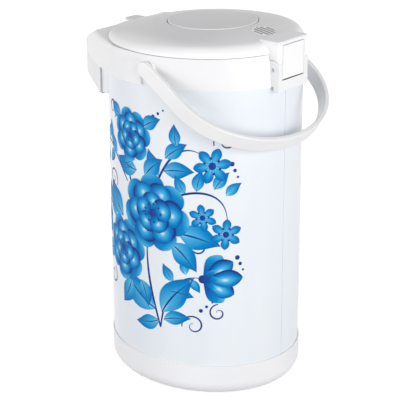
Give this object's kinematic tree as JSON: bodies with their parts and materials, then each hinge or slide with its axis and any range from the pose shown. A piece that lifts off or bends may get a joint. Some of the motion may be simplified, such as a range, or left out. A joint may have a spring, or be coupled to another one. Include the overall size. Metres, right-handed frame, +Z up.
{
  "type": "pump pot",
  "caption": "Oval air-pump vacuum pot with a hinged pump lid, front pouring nose, bail handle, glass liner and printed metal body on a plastic base.",
  "frame": {"origin": "centre of the oval body at the plane it stands on", "axes": "+Z up, -Y toward the pouring nose, +Y toward the lid hinge, +X to the side with the print in the picture"},
  "size_m": [0.2142, 0.2693, 0.3916],
  "materials": {
    "body_enamel": "pearl satin with a blue floral print on the side",
    "base_plastic": "satin",
    "white_plastic": "semi gloss",
    "press_plastic": "semi gloss",
    "vent_plastic": "satin",
    "lever_plastic": "satin",
    "handle_plastic": "semi gloss",
    "inner_plastic": "satin",
    "liner_glass": "silvered",
    "rubber": "matte",
    "bellows_rubber": "matte",
    "steel": "bright"
  },
  "bodies": {
    "pot": {"body_shell": "body_enamel", "base_ring": "base_plastic", "bottom_cap": "base_plastic", "liner_cushion": "rubber", "outer_flask": "liner_glass", "inner_flask": "liner_glass", "neck_gasket": "rubber", "collar": "white_plastic", "spout_cover": "inner_plastic", "dip_tube": "steel", "tube_strainer": "inner_plastic", "pour_pipe": "inner_plastic", "nozzle": "inner_plastic", "hinge_pin": "steel"},
    "lid": {"lid_cover": "white_plastic", "lid_base": "inner_plastic", "lid_gasket": "rubber", "lid_screws": "steel", "vent_grille": "vent_plastic", "bellows": "bellows_rubber", "bellows_spring": "steel", "check_valve": "rubber", "latch_pin": "steel", "release_pin": "steel"},
    "press": {"press_plate": "press_plastic"},
    "latch": {"latch_lever": "white_plastic"},
    "release": {"release_lever": "lever_plastic"},
    "bail": {"handle": "handle_plastic", "handle_clips": "steel"}
  },
  "joints": [
    {"name": "lid_hinge", "type": "hinge", "parent": "pot", "child": "lid", "pos_m": [0, 0.1075, 0.356], "axis": [-1, 0, 0], "range_deg": [0, 88]},
    {"name": "pump_press", "type": "slide", "parent": "lid", "child": "press", "axis": [0, 0, -1], "range_m": [0, 0.02], "stiffness_N_per_m": 400, "springref_m": -0.012, "deforming": ["bellows", "bellows_spring"]},
    {"name": "latch_tilt", "type": "hinge", "parent": "lid", "child": "latch", "pos_m": [0, -0.097, 0.3683], "axis": [1, 0, 0], "range_deg": [0, 12], "stiffness_Nm_per_rad": 0.2, "springref_deg": -11.46},
    {"name": "release_tilt", "type": "hinge", "parent": "lid", "child": "release", "pos_m": [0, 0.1098, 0.37], "axis": [1, 0, 0], "range_deg": [0, 3], "stiffness_Nm_per_rad": 0.3, "springref_deg": -11.46},
    {"name": "handle_swing", "type": "hinge", "parent": "pot", "child": "bail", "pos_m": [0, 0.0085, 0.3565], "axis": [1, 0, 0], "range_deg": [0, 200]}
  ]
}
